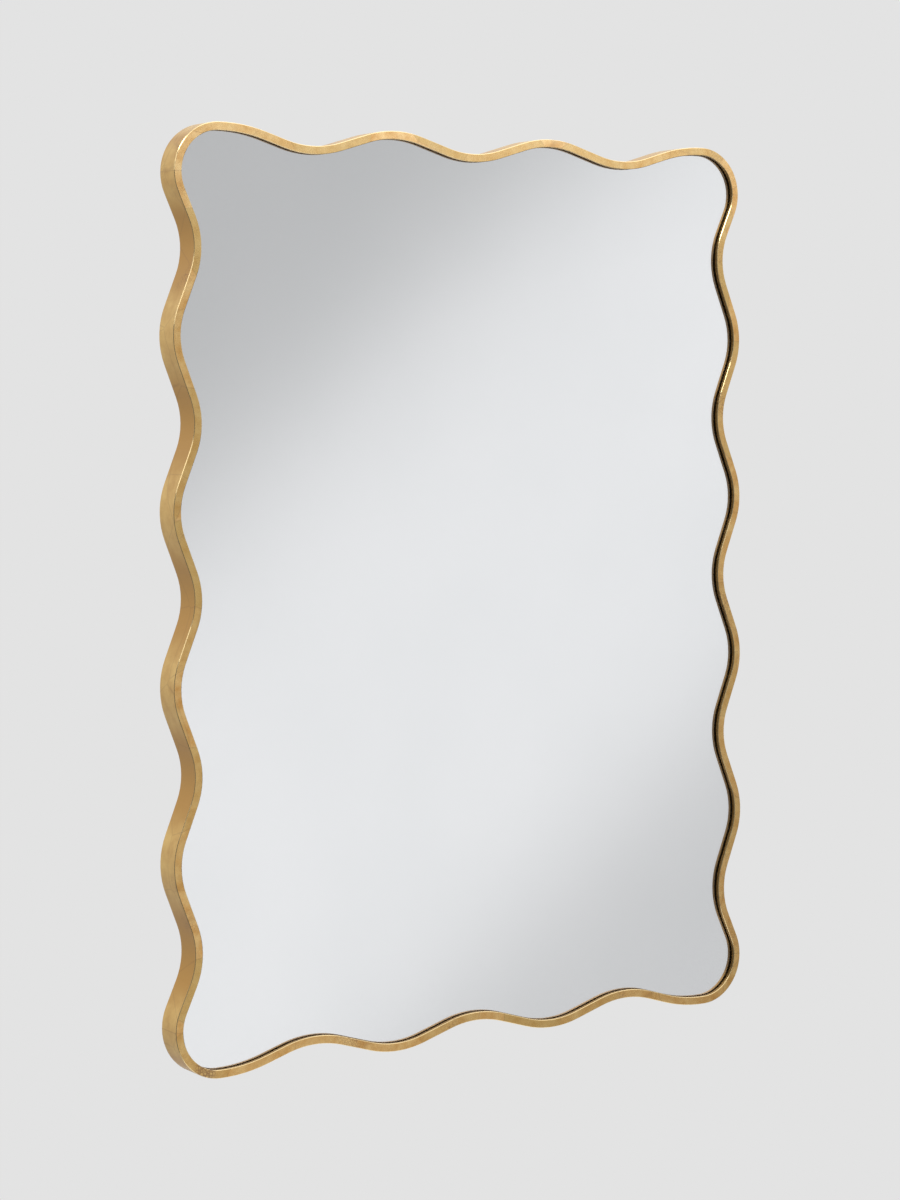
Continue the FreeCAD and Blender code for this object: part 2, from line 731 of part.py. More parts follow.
def build_strap(name, spot, turn):
    """Strip folded round the ring's bar, its two layers riveted to the plate."""
    body = new_body("ring_strap_" + name)
    label = body.Label
    sketch = new_sketch(body, label + "_profile", role="YZ_Plane")
    # In this sketch the first axis is depth off the plate and the second is height. The
    # bend lies on the plate, so its outer radius is the height of the bar.
    radius = number("sizes.bar_height")
    stack, taper = number("sizes.strap_stack"), number("sizes.strap_taper")
    length = number("sizes.strap_length")
    centre = Vector(radius, 0, 0)
    corner = Vector(stack, -taper, 0)
    spoke = corner - centre
    swing = math.acos(radius / spoke.Length)
    heading = math.atan2(spoke.y, spoke.x) + swing
    touch = centre + Vector(math.cos(heading), math.sin(heading), 0) * radius
    loop = Part.Circle(centre, Vector(0, 0, 1), radius)
    bend = sketch.addGeometry(Part.ArcOfCircle(loop, heading, math.pi))
    points = [touch, corner, Vector(stack, -length, 0), Vector(0, -length, 0), Vector(0, 0, 0)]
    lines = [sketch.addGeometry(Part.LineSegment(start, end))
             for start, end in zip(points, points[1:])]
    rule(sketch, "Tangent", bend, 1, lines[0], 1)
    for line, following in zip(lines, lines[1:]):
        rule(sketch, "Coincident", line, 2, following, 1)
    rule(sketch, "Tangent", lines[-1], 2, bend, 2)
    place_point(sketch, bend, 3, "sizes.bar_height", None)
    rule(sketch, "Vertical", lines[1])
    rule(sketch, "Horizontal", lines[2])
    rule(sketch, "Vertical", lines[3])
    dimension(sketch, "Radius", bend, "sizes.bar_height")
    dimension(sketch, "DistanceX", *ORIGIN, lines[1], 1, "sizes.strap_stack")
    dimension(sketch, "DistanceY", *ORIGIN, lines[1], 1, "-sizes.strap_taper")
    dimension(sketch, "DistanceY", *ORIGIN, lines[2], 2, "-sizes.strap_length")
    add_circle(sketch, "sizes.bar_height", None, "2 * sizes.eye_radius")
    pad = add_pad(body, sketch, "sizes.strap_width")
    pad.Midplane = True
    holes = [(None, f"-(sizes.rivet_inset + {index} * sizes.rivet_spacing)", "sizes.rivet_shank")
             for index in (0, 1)]
    add_holes(body, label + "_holes", "sizes.strap_stack", "sizes.strap_stack", holes)
    place(body, across=spot[0], depth="sizes.hanger_y", up=spot[1], turn=turn)
    parts[label] = body


def build_ring(name, spot, turn):
    """Closed D of round wire: a straight bar, two short sides and a half-round bow."""
    body = new_body("hanging_ring_" + name)
    label = body.Label
    path = new_sketch(body, label + "_path")
    half, side = number("sizes.ring_span") / 2, number("sizes.ring_side")
    bend = number("sizes.ring_corner")
    bar = path.addGeometry(Part.LineSegment(Vector(-half + bend, 0, 0), Vector(half - bend, 0, 0)))
    corner_right = path.addGeometry(Part.ArcOfCircle(
        Part.Circle(Vector(half - bend, -bend, 0), Vector(0, 0, 1), bend), 0, math.pi / 2))
    corner_left = path.addGeometry(Part.ArcOfCircle(
        Part.Circle(Vector(-half + bend, -bend, 0), Vector(0, 0, 1), bend), math.pi / 2, math.pi))
    side_right = path.addGeometry(Part.LineSegment(Vector(half, -bend, 0), Vector(half, -side, 0)))
    side_left = path.addGeometry(Part.LineSegment(Vector(-half, -side, 0), Vector(-half, -bend, 0)))
    bow = path.addGeometry(Part.ArcOfCircle(
        Part.Circle(Vector(0, -side, 0), Vector(0, 0, 1), half), math.pi, 2 * math.pi))
    rule(path, "Tangent", bar, 2, corner_right, 2)
    rule(path, "Tangent", corner_right, 1, side_right, 1)
    rule(path, "Tangent", side_right, 2, bow, 2)
    rule(path, "Tangent", bow, 1, side_left, 1)
    rule(path, "Tangent", side_left, 2, corner_left, 2)
    rule(path, "Tangent", corner_left, 1, bar, 1)
    rule(path, "PointOnObject", bar, 1, axis_across())
    rule(path, "Horizontal", bar)
    rule(path, "Vertical", side_right)
    rule(path, "Vertical", side_left)
    rule(path, "Equal", corner_right, corner_left)
    dimension(path, "Radius", corner_right, "sizes.ring_corner")
    dimension(path, "Radius", bow, "sizes.ring_span / 2")
    place_point(path, bow, 3, None, "-sizes.ring_side")
    wire = new_sketch(body, label + "_section", role="YZ_Plane")
    add_circle(wire, None, None, "sizes.ring_wire")
    pipe = body.newObject("PartDesign::AdditivePipe", label + "_pipe")
    pipe.Profile = wire
    pipe.Spine = (path, [])
    body.Tip = pipe
    place(body, across=spot[0], depth="sizes.hanger_y + sizes.bar_height", up=spot[1],
          turn=turn, tilt=number("sizes.ring_rest_angle"))
    parts[label] = body


def bar_spot(rail, distance, sense):
    """Front-view position of the middle of a ring's bar."""
    return from_station(rail, distance, "sizes.strap_inset", f"{sense} * sizes.strap_rise")


for hanger_name, (hanger_rail, hanger_distance, hanger_sense) in HANGERS.items():
    hanger_spot = bar_spot(hanger_rail, hanger_distance, hanger_sense)
    strap_turn = 0.0 if hanger_rail in ("left", "right") else 90.0
    build_strap(hanger_name, hanger_spot, strap_turn)
    build_ring(hanger_name, hanger_spot, strap_turn)


# ------------------------------------------------------------------------ screws and rivets

def turned(label, profile):
    """Solid of revolution about Y from a half section of (radius, depth) points."""
    body = new_body(label)
    sketch = new_sketch(body, label + "_profile", role="XY_Plane")
    add_polygon(sketch, profile)
    turning = body.newObject("PartDesign::Revolution", label + "_turning")
    turning.Profile = sketch
    turning.ReferenceAxis = (datum(body, "Y_Axis"), [""])
    turning.Angle = 360
    body.Tip = turning
    return body


def build_screw():
    """Pan-head screw with a cross recess; its head rests on Y = 0 and its point is at -Y."""
    head, rise = "sizes.screw_head / 2", "sizes.screw_head_height"
    shank, length = "sizes.screw_shank / 2", "sizes.screw_length"
    profile = [
        (None, f"-{length}"), (shank, f"-{length} + sizes.screw_point"), (shank, None),
        (head, None), (head, f"{rise} / 2"), ("sizes.screw_crown / 2", rise), (None, rise),
    ]
    body = turned("screw_form", profile)
    half, slot = "sizes.screw_slot_length / 2", "sizes.screw_slot_width / 2"
    cross = new_sketch(body, "screw_cross", level=rise)
    corners = []
    for across, up in ((1, 1), (-1, 1), (-1, -1), (1, -1)):
        inner = (f"{across} * {slot}", f"{up} * {slot}")
        wide = (f"{across} * {half}", f"{up} * {slot}")
        tall = (f"{across} * {slot}", f"{up} * {half}")
        corners += [wide, inner, tall] if across * up > 0 else [tall, inner, wide]
    add_polygon(cross, corners)
    add_pocket(body, cross, "sizes.screw_slot_depth")
    return body


def build_rivet():
    """Rivet through a strap and its plate; Y = 0 is the top of the strap."""
    head, tail, shank = "sizes.rivet_head / 2", "sizes.rivet_tail / 2", "sizes.rivet_shank / 2"
    rise = "sizes.rivet_head_height"
    grip = "(sizes.strap_stack + sizes.plate_thickness)"
    profile = [
        (None, f"-{grip} - sizes.rivet_tail_height"), (tail, f"-{grip} - sizes.rivet_tail_height"),
        (tail, f"-{grip}"), (shank, f"-{grip}"), (shank, None), (head, None),
        ("sizes.rivet_shoulder / 2", "sizes.rivet_shoulder_height"),
        ("sizes.rivet_crown / 2", rise), (None, rise),
    ]
    return turned("rivet_form", profile)


def fastener_group(label, form, level, spots):
    """Copies of one fastener, each a separate solid, gathered under one name."""
    copies = []
    for index, (across, up) in enumerate(spots, start=1):
        copy = doc.addObject("App::Link", f"{label}_{index}")
        copy.LinkedObject = form
        copy.LinkTransform = False
        place(copy, across=across, depth=level, up=up)
        copies.append(copy)
    group = doc.addObject("Part::Compound", label)
    group.Label = label
    group.Links = copies
    parts[label] = group


def build_fasteners():
    screw, rivet = build_screw(), build_rivet()
    on_lugs = [from_station(rail, distance, "sizes.lug_screw_inset", None)
               for rail, distance in LUGS.values()]
    on_plates = [from_station(rail, distance, inset, spread)
                 for rail, distance, _ in HANGERS.values() for inset, spread in PLATE_SCREWS]
    fastener_group("lug_screws", screw, "sizes.back_y + sizes.lug_thickness", on_lugs)
    fastener_group("plate_screws", screw, "sizes.hanger_y", on_plates)
    rivet_spots = [from_station(rail, distance, "sizes.strap_inset", rivet_offset(sense, index))
                   for rail, distance, sense in HANGERS.values() for index in (0, 1)]
    fastener_group("strap_rivets", rivet, "sizes.hanger_y + sizes.strap_stack", rivet_spots)


build_fasteners()


# ---------------------------------------------------------------------- check and write

doc.recompute()
for item in doc.Objects:
    if "Invalid" in item.State or "Error" in item.State:
        raise RuntimeError(f"{item.Name}: {item.State}")
for label, item in parts.items():
    if item.Shape.isNull() or not item.Shape.isValid():
        raise RuntimeError(f"{label}: bad shape")

os.makedirs("parts", exist_ok=True)
for label, item in parts.items():
    item.Shape.exportStep(f"parts/{label}.step")
    box = item.Shape.BoundBox
    print(f"{label:32s} {len(item.Shape.Solids):3d} solids {item.Shape.Volume:11.1f} mm3"
          f"  {box.XLength:7.1f} x {box.YLength:6.2f} x {box.ZLength:7.1f}")
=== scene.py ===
"""Wavy wall mirror in a gilded steel frame, dressed for a studio photograph.

Lengths are metres in the CAD frame: X right and Z up from the front, Y towards the wall.
"""

import json
import logging
import math
from collections.abc import Callable, Mapping
from dataclasses import dataclass, field
from enum import Enum
from functools import partial, reduce
from typing import Any

import bmesh
import bpy
import numpy as np
from mathutils import Matrix, Vector

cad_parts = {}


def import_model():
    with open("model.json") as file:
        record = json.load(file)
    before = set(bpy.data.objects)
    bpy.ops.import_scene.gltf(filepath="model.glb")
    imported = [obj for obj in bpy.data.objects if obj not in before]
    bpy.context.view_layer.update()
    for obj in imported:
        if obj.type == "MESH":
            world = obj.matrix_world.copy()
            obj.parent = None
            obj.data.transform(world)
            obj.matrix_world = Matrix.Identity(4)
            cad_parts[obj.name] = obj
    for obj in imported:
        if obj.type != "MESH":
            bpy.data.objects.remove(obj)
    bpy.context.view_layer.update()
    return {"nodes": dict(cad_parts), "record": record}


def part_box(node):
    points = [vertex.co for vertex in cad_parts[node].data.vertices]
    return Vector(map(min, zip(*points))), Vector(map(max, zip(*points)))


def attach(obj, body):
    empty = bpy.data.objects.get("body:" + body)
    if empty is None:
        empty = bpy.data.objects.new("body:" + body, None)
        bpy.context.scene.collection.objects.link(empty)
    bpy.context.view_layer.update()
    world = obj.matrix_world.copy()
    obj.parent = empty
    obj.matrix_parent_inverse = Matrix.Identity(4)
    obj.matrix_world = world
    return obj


LOG = logging.getLogger("wavy_mirror")
MM = 0.001
SAME_POINT = 1e-7  # points of one mesh that lie closer are merged
EASED = "SMOOTHSTEP"  # a ramp that leaves and meets its levels gently
KEEP_XZ = (1, 0, 1)  # takes the part of a vector that lies in the mirror's plane

Triple = tuple[float, float, float]
Span = tuple[float, float]
Feed = float | tuple[float, ...] | bpy.types.NodeSocket | bpy.types.Node
AddNode = Callable[..., bpy.types.Node]


# ---------------------------------------------------------------------- colour and nodes


def linear(code: str) -> tuple[float, float, float, float]:
    """Turn an sRGB hex colour such as "#C49A50" into a linear colour.

    Args:
        code: six hex digits after a hash sign.

    Returns:
        Linear red, green and blue, and an alpha of one.
    """
    parts = [int(code[i : i + 2], 16) / 255 for i in (1, 3, 5)]
    red, green, blue = (
        c / 12.92 if c <= 0.04045 else ((c + 0.055) / 1.055) ** 2.4 for c in parts
    )
    return red, green, blue, 1.0


def per_metre(size_mm: float) -> float:
    """Find the texture scale for a pattern of a real size.

    Args:
        size_mm: width of one cell of the pattern, in millimetres.

    Returns:
        Cells per metre.
    """
    return 1.0 / (size_mm * MM)


def add_node(
    tree: bpy.types.NodeTree, kind: str, *feeds: Feed,
    named: Mapping[str, Feed] | None = None, **settings: Any,
) -> bpy.types.Node:
    """Add a node with its settings and links.

    Args:
        tree: the node tree that gets the node.
        kind: the node's type name, without its ShaderNode prefix.
        *feeds: what goes into the inputs in use, in order: values, output sockets, or
            nodes, whose first output in use is taken.
        named: the same for inputs that are given by name.
        **settings: properties of the node.

    Returns:
        The new node.
    """
    node = tree.nodes.new("ShaderNode" + kind)
    for name, value in settings.items():
        setattr(node, name, value)
    in_use = [socket for socket in node.inputs if socket.enabled]
    by_name = [(node.inputs[name], feed) for name, feed in (named or {}).items()]
    for socket, feed in [*zip(in_use, feeds), *by_name]:
        if isinstance(feed, bpy.types.Node):
            feed = next(output for output in feed.outputs if output.enabled)
        if isinstance(feed, bpy.types.NodeSocket):
            tree.links.new(feed, socket)
        else:
            socket.default_value = feed
    return node


def new_material(name: str) -> tuple[bpy.types.Material, AddNode]:
    """Make a material with an empty node tree.

    Args:
        name: name of the material.

    Returns:
        The material, and add_node for its tree.
    """
    material = bpy.data.materials.new(name)
    material.use_nodes = True
    material.node_tree.nodes.clear()
    return material, partial(add_node, material.node_tree)


def layered(add: AddNode, base: Feed, *layers: tuple[Feed, str]) -> Feed:
    """Lay colours over one another.

    Args:
        add: adds a node to the material.
        base: the lowest colour.
        *layers: share and hex colour of each layer above it, from the lowest up.

    Returns:
        The colour that shows.
    """
    for share, code in layers:
        base = add("Mix", share, base, linear(code), data_type="RGBA")
    return base


# ------------------------------------------------------------------------------ finishes


@dataclass(frozen=True)
class Finish:
    """What a surface is made of, and how it was made."""

    name: str

    def wire(self, add: AddNode) -> dict[str, Feed]:
        """Add the nodes of the finish.

        Args:
            add: adds a node to the material.

        Returns:
            What goes into the principled shader, by input name.
        """
        raise NotImplementedError

    def build(self) -> bpy.types.Material:
        """Make the material.

        Returns:
            The material, with its nodes wired up.
        """
        material, add = new_material(self.name)
        add("OutputMaterial", add("BsdfPrincipled", named=self.wire(add)))
        return material


@dataclass(frozen=True)
class GoldLeaf(Finish):
    """Imitation gold leaf on steel: brass leaf, oil-gilded over red-brown bole and lacquered.

    The leaf is laid in overlapping squares of slightly different tint. It is mottled, with
    fine wrinkles, and in places it has cracked and shows the bole. The front face carries
    the brightest tint. The side is satin and less lacquered, and its darker tint is painted
    shade, darker still in its valleys, also painted shade. The bevels have a paler tint, a
    painted highlight, and the inner edge a darker one, painted shade.
    """

    name: str = "gold_leaf"
    face_light: str = "#E8C07A"
    face_deep: str = "#CF9848"
    face_olive: str = "#BC9D54"
    # the side's tints are darker than the face's: painted shade on the side walls, which are also
    # satin
    side_light: str = "#DDB96E"
    side_deep: str = "#C2974F"
    # painted shade: a darker tint in the valleys of the side
    side_hollow: str = "#B98A3A"
    # painted highlight: a paler tint on the bevels that brightens their edge lines
    bevel_light: str = "#F2D69C"
    # a darker tint on the inner walls: painted shade on the face rails; the rim strips set bole
    # brushed on their inside
    inner_wall: str = "#B48C50"
    bole: str = "#6B3A20"

    # how far a surface has to face the front, and a wall the middle, to count as such
    front_facing: Span = (0.35, 0.55)
    flat_facing: Span = (0.8, 0.95)
    inward_facing: Span = (0.0, -0.35)

    square_mm: float = 74.0
    square_randomness: float = 0.7
    ragged_mm: float = 30.0
    ragged_reach: float = 6.0 * MM
    overlap_mm: float = 0.9
    mottle_mm: float = 16.0
    wrinkle_mm: float = 4.5
    crack_mm: float = 3.2
    crack_patch_mm: float = 60.0

    # where the deeper tints and the cracked patches begin and are full, on their patterns
    face_mottle: Span = (0.35, 0.68)
    side_mottle: Span = (0.3, 0.75)
    olive_squares: Span = (0.45, 1.0)
    crack_patches: Span = (0.58, 0.70)

    # the worst cracks: X and Z of their middle, how far they reach, and how wide the
    # cracks are away from there and in it, as a share of a cell
    crack_spot: Span = (-345.0 * MM, -498.0 * MM)
    crack_spot_size: Span = (18.0 * MM, 8.0 * MM)
    crack_widths: Span = (0.08, 0.26)

    # how much of the olive tint shows, and how much bole in each kind of fault
    olive_share: float = 0.55
    crack_share: float = 0.7
    overlap_share: float = 0.22
    seam_share: float = 0.22

    # half the overall size, and the shares of it at which the painted shade of a valley begins and
    # is full
    crest_reach: Span = (381.0 * MM, 508.0 * MM)
    hollow_depth: Span = (0.990, 0.950)

    # the corner seams, above and below the middle
    seam_height: float = 453.97 * MM
    seam_width: float = 0.5 * MM

    # gloss, lacquer and relief
    wrinkle_span: Span = (0.3, 0.7)
    face_roughness: Span = (0.24, 0.34)
    bevel_roughness: float = 0.2
    side_roughness: float = 0.42
    lacquer_gloss: float = 0.22
    lacquer_share: Span = (0.45, 1.0)  # on the side and on the face
    overlap_relief: float = 0.5
    relief_strength: float = 0.2
    relief_height: float = 0.05 * MM

    def surfaces(
        self, add: AddNode, spot: Feed, normal: Feed
    ) -> tuple[bpy.types.Node, bpy.types.Node, bpy.types.Node]:
        """Tell the front face, its bevels and the inner walls by the way they face.

        Args:
            add: adds a node to the material.
            spot: place on the frame.
            normal: the way its surface faces.

        Returns:
            Shares of front, of bevel and of inner wall. A bevel is part of the front.
        """
        facing = add("SeparateXYZ", normal)
        flatness = add("Math", facing.outputs["Y"], operation="ABSOLUTE")
        on_face = add("MapRange", flatness, *self.front_facing)
        past_bevel = add("MapRange", flatness, *self.flat_facing)
        on_bevel = add("Math", on_face, past_bevel, operation="SUBTRACT")
        # a wall looks inwards where its normal points back to the middle of the mirror
        quadrant = add("VectorMath", spot, operation="SIGN")
        outward = add("VectorMath", normal, quadrant, operation="MULTIPLY")
        reach = add("VectorMath", outward, KEEP_XZ, operation="DOT_PRODUCT")
        looks_in = add("MapRange", reach, *self.inward_facing)
        on_wall = add("Math", 1.0, on_face, operation="SUBTRACT")
        on_inner = add("Math", looks_in, on_wall, operation="MULTIPLY")
        return on_face, on_bevel, on_inner

    def squares(
        self, add: AddNode, spot: Feed
    ) -> tuple[bpy.types.Node, bpy.types.Node, bpy.types.Node]:
        """Lay the squares of leaf, with ragged edges.

        Args:
            add: adds a node to the material.
            spot: place on the frame.

        Returns:
            The place as the ragged leaf has it, a random colour for each square, and the
            share of overlap.
        """
        bend = add(
            "TexNoise", spot,
            named={"Scale": per_metre(self.ragged_mm), "Detail": 2.0, "Roughness": 0.5},
        )
        reach = (self.ragged_reach,) * 3
        shift = add("VectorMath", bend.outputs["Color"], reach, operation="MULTIPLY")
        ragged = add("VectorMath", spot, shift, operation="ADD")
        layout = {"Scale": per_metre(self.square_mm), "Randomness": self.square_randomness}
        square = add("TexVoronoi", ragged, named=layout)
        tint = add("SeparateColor", square.outputs["Color"])
        edge = add("TexVoronoi", ragged, named=layout, feature="DISTANCE_TO_EDGE")
        overlap = add("MapRange", edge, 0.0, self.overlap_mm / self.square_mm, 1.0, 0.0)
        return ragged, tint, overlap

    def cracks(self, add: AddNode, spot: Feed, ragged: Feed) -> bpy.types.Node:
        """Crack the leaf in patches, and most of all round one spot.

        Args:
            add: adds a node to the material.
            spot: place on the frame.
            ragged: the place as the ragged leaf has it.

        Returns:
            Share of open crack.
        """
        patches = add(
            "TexNoise", spot, named={"Scale": per_metre(self.crack_patch_mm), "Detail": 3.0}
        )
        patch = add("MapRange", patches, *self.crack_patches)
        spot_x, spot_z = self.crack_spot
        flat = add("VectorMath", spot, KEEP_XZ, operation="MULTIPLY")
        away = add("VectorMath", flat, (spot_x, 0, spot_z), operation="DISTANCE")
        worst = add("MapRange", away, *self.crack_spot_size, interpolation_type=EASED)
        width = add(
            "MapRange", away, *self.crack_spot_size, *self.crack_widths, interpolation_type=EASED
        )
        cracked = add("Math", patch, worst, operation="MAXIMUM")
        cells = add(
            "TexVoronoi", ragged, named={"Scale": per_metre(self.crack_mm)},
            feature="DISTANCE_TO_EDGE",
        )
        thin = add("MapRange", cells, 0.0, width, 1.0, 0.0)
        return add("Math", thin, cracked, operation="MULTIPLY")

    def hollow(self, add: AddNode, spot: Feed) -> bpy.types.Node:
        """Tell how far the outline bends in.

        Args:
            add: adds a node to the material.
            spot: place on the frame.

        Returns:
            0 on a crest and 1 in a valley.
        """
        # this share sets the painted shade in the valleys of the side
        wide, tall = self.crest_reach
        shares = add("VectorMath", spot, (1 / wide, 0, 1 / tall), operation="MULTIPLY")
        both = add("SeparateXYZ", add("VectorMath", shares, operation="ABSOLUTE"))
        outermost = add("Math", both.outputs["X"], both.outputs["Z"], operation="MAXIMUM")
        return add("MapRange", outermost, *self.hollow_depth, interpolation_type=EASED)

    def seams(self, add: AddNode, spot: Feed) -> bpy.types.Node:
        """Draw the welded joints between the rails, ground flush.

        Args:
            add: adds a node to the material.
            spot: place on the frame.

        Returns:
            1 on a seam and 0 elsewhere.
        """
        level = add("SeparateXYZ", spot)
        height = add("Math", level.outputs["Z"], operation="ABSOLUTE")
        return add("Math", height, self.seam_height, self.seam_width, operation="COMPARE")

    def wire(self, add: AddNode) -> dict[str, Feed]:
        """Add the nodes of the leaf, its colours, gloss and relief.

        Args:
            add: adds a node to the material.

        Returns:
            What goes into the principled shader, by input name.
        """
        place = add("TexCoord")
        spot = place.outputs["Object"]
        on_face, on_bevel, on_inner = self.surfaces(add, spot, place.outputs["Normal"])
        ragged, tint, overlap = self.squares(add, spot)
        mottle = add(
            "TexNoise", spot,
            named={"Scale": per_metre(self.mottle_mm), "Detail": 5.0, "Roughness": 0.62},
        )
        wrinkle = add(
            "TexNoise", spot,
            named={"Scale": per_metre(self.wrinkle_mm), "Detail": 1.0, "Roughness": 0.4},
        )

        # colours of the face and the side, whose darker tints are painted shade, then the bevels'
        # painted highlight, the inner walls' painted shade, and what covers all or lies bare
        olive = add("MapRange", tint.outputs["Green"], *self.olive_squares, 0.0, self.olive_share)
        face = layered(
            add, linear(self.face_light),
            (add("MapRange", mottle, *self.face_mottle), self.face_deep),
            (olive, self.face_olive),
        )
        side = layered(
            add, linear(self.side_light),
            (add("MapRange", mottle, *self.side_mottle), self.side_deep),
            (self.hollow(add, spot), self.side_hollow),
        )
        leaf = add("Mix", on_face, side, face, data_type="RGBA")
        faults = (
            (self.cracks(add, spot, ragged), self.crack_share),
            (overlap, self.overlap_share),
            (self.seams(add, spot), self.seam_share),
        )
        shares = [add("Math", fault, share, operation="MULTIPLY") for fault, share in faults]
        bare = reduce(partial(add, "Math", operation="MAXIMUM"), shares)
        colour = layered(
            add, leaf, (on_bevel, self.bevel_light), (on_inner, self.inner_wall), (bare, self.bole)
        )

        # gloss, relief and lacquer, which the inner walls don't get
        face_gloss = add("MapRange", wrinkle, *self.wrinkle_span, *self.face_roughness)
        front_gloss = add("Mix", on_bevel, face_gloss, self.bevel_roughness, data_type="FLOAT")
        gloss = add("Mix", on_face, self.side_roughness, front_gloss, data_type="FLOAT")
        relief = add("Math", overlap, self.overlap_relief, wrinkle, operation="MULTIPLY_ADD")
        bump = add("Bump", self.relief_strength, self.relief_height, named={"Height": relief})
        coat = add("MapRange", on_face, 0.0, 1.0, *self.lacquer_share, interpolation_type=EASED)
        coated = add("Math", 1.0, on_inner, operation="SUBTRACT")
        return {
            "Base Color": colour, "Metallic": 1.0, "Roughness": gloss, "Normal": bump,
            "Coat Weight": add("Math", coat, coated, operation="MULTIPLY"),
            "Coat Roughness": self.lacquer_gloss,
        }


@dataclass(frozen=True)
class GildedRim(GoldLeaf):
    """The same leaf on the rim strips, whose inside is only brushed with bole."""

    name: str = "gilded_rim"
    inner_wall: str = "#4E382A"
    lacquer_gloss: float = 0.35


@dataclass(frozen=True)
class FloatGlass(Finish):
    """Clear low-iron float glass: flat, polished and all but colourless.

    Light passes in, meets the silvering and leaves again.
    """

    name: str = "float_glass"
    tint: str = "#FDFDFE"
    refraction: float = 1.52

    def wire(self, add: AddNode) -> dict[str, Feed]:
        """Give the glass its colour and refraction. It needs no pattern.

        Args:
            add: adds a node to the material.

        Returns:
            What goes into the principled shader, by input name.
        """
        return {
            "Base Color": linear(self.tint), "Roughness": 0.0, "IOR": self.refraction,
            "Transmission Weight": 1.0,
        }


@dataclass(frozen=True)
class Silvering(Finish):
    """Wet-deposited silver on the back of the glass: neutral and all but even in tone."""

    name: str = "silvering"
    silver: str = "#F6F7F8"
    haze: str = "#EEF0F1"
    cloud_mm: float = 220.0

    def wire(self, add: AddNode) -> dict[str, Feed]:
        """Add a trace of unevenness in the silver's tone.

        Args:
            add: adds a node to the material.

        Returns:
            What goes into the principled shader, by input name.
        """
        spot = add("TexCoord").outputs["Object"]
        cloud = add("TexNoise", spot, named={"Scale": per_metre(self.cloud_mm)})
        tone = layered(add, linear(self.silver), (cloud, self.haze))
        return {"Base Color": tone, "Metallic": 1.0, "Roughness": 0.0}


@dataclass(frozen=True)
class FoamTape(Finish):
    """Closed-cell polyethylene foam tape: matt, with a fine open grain on its cut edges."""

    name: str = "foam_tape"
    dark: str = "#0C0C0D"
    pale: str = "#1A1A1B"
    cell_mm: float = 0.5
    pit_strength: float = 0.4
    pit_depth: float = 0.1 * MM

    def wire(self, add: AddNode) -> dict[str, Feed]:
        """Draw the cells as small rounded pits.

        Args:
            add: adds a node to the material.

        Returns:
            What goes into the principled shader, by input name.
        """
        spot = add("TexCoord").outputs["Object"]
        cells = add("TexVoronoi", spot, named={"Scale": per_metre(self.cell_mm)})
        tone = layered(add, linear(self.dark), (cells, self.pale))
        pits = add("Bump", self.pit_strength, self.pit_depth, named={"Height": cells})
        return {"Base Color": tone, "Roughness": 0.9, "Normal": pits}


@dataclass(frozen=True)
class Fibreboard(Finish):
    """Medium-density fibreboard: a smooth tan face with short darker fibres."""

    name: str = "fibreboard"
    pale: str = "#B3906A"
    dark: str = "#A07E5A"
    fleck: str = "#6E5236"
    cloud_mm: float = 45.0
    fibre_mm: float = 1.6
    fleck_mm: float = 4.0
    squeeze: Triple = (1.0, 1.0, 3.0)  # makes the fibres longer across than up
    pressed: Span = (0.14, 0.38)
    fleck_reach: Span = (0.05, 0.16)
    fleck_share: float = 0.8
    fibre_strength: float = 0.25
    fibre_height: float = 0.08 * MM

    def wire(self, add: AddNode) -> dict[str, Feed]:
        """Add clouds of pressed fibre, single fibres and a few dark flecks.

        Args:
            add: adds a node to the material.

        Returns:
            What goes into the principled shader, by input name.
        """
        spot = add("TexCoord").outputs["Object"]
        cloud = add(
            "TexNoise", spot,
            named={"Scale": per_metre(self.cloud_mm), "Detail": 6.0, "Roughness": 0.65},
        )
        grain = add("Mapping", spot, named={"Scale": self.squeeze})
        fibre = add(
            "TexNoise", grain,
            named={"Scale": per_metre(self.fibre_mm), "Detail": 4.0, "Roughness": 0.7},
        )
        flecks = add("TexVoronoi", grain, named={"Scale": per_metre(self.fleck_mm)})
        fleck = add("MapRange", flecks, *self.fleck_reach, self.fleck_share, 0.0)
        both = add("Math", cloud, fibre, operation="MULTIPLY")
        spread = add("MapRange", both, *self.pressed)
        colour = layered(add, linear(self.dark), (spread, self.pale), (fleck, self.fleck))
        bump = add("Bump", self.fibre_strength, self.fibre_height, named={"Height": fibre})
        return {"Base Color": colour, "Roughness": 0.72, "Normal": bump}


@dataclass(frozen=True)
class PowderCoat(Finish):
    """Black polyester powder coat: semi-matt, with a soft orange-peel surface."""

    name: str = "black_powder_coat"
    base: str = "#151516"
    worn: str = "#26262A"
    peel_mm: float = 1.1
    cloud_mm: float = 12.0
    cloud_span: Span = (0.3, 0.7)
    roughness: Span = (0.36, 0.5)
    peel_strength: float = 0.3
    peel_height: float = 0.08 * MM

    def wire(self, add: AddNode) -> dict[str, Feed]:
        """Add the peel as relief and a slight unevenness in the black.

        Args:
            add: adds a node to the material.

        Returns:
            What goes into the principled shader, by input name.
        """
        spot = add("TexCoord").outputs["Object"]
        cloud = add("TexNoise", spot, named={"Scale": per_metre(self.cloud_mm), "Detail": 4.0})
        peel = add("TexNoise", spot, named={"Scale": per_metre(self.peel_mm), "Detail": 2.0})
        colour = layered(add, linear(self.base), (cloud, self.worn))
        gloss = add("MapRange", cloud, *self.cloud_span, *self.roughness)
        bump = add("Bump", self.peel_strength, self.peel_height, named={"Height": peel})
        return {"Base Color": colour, "Roughness": gloss, "Normal": bump}


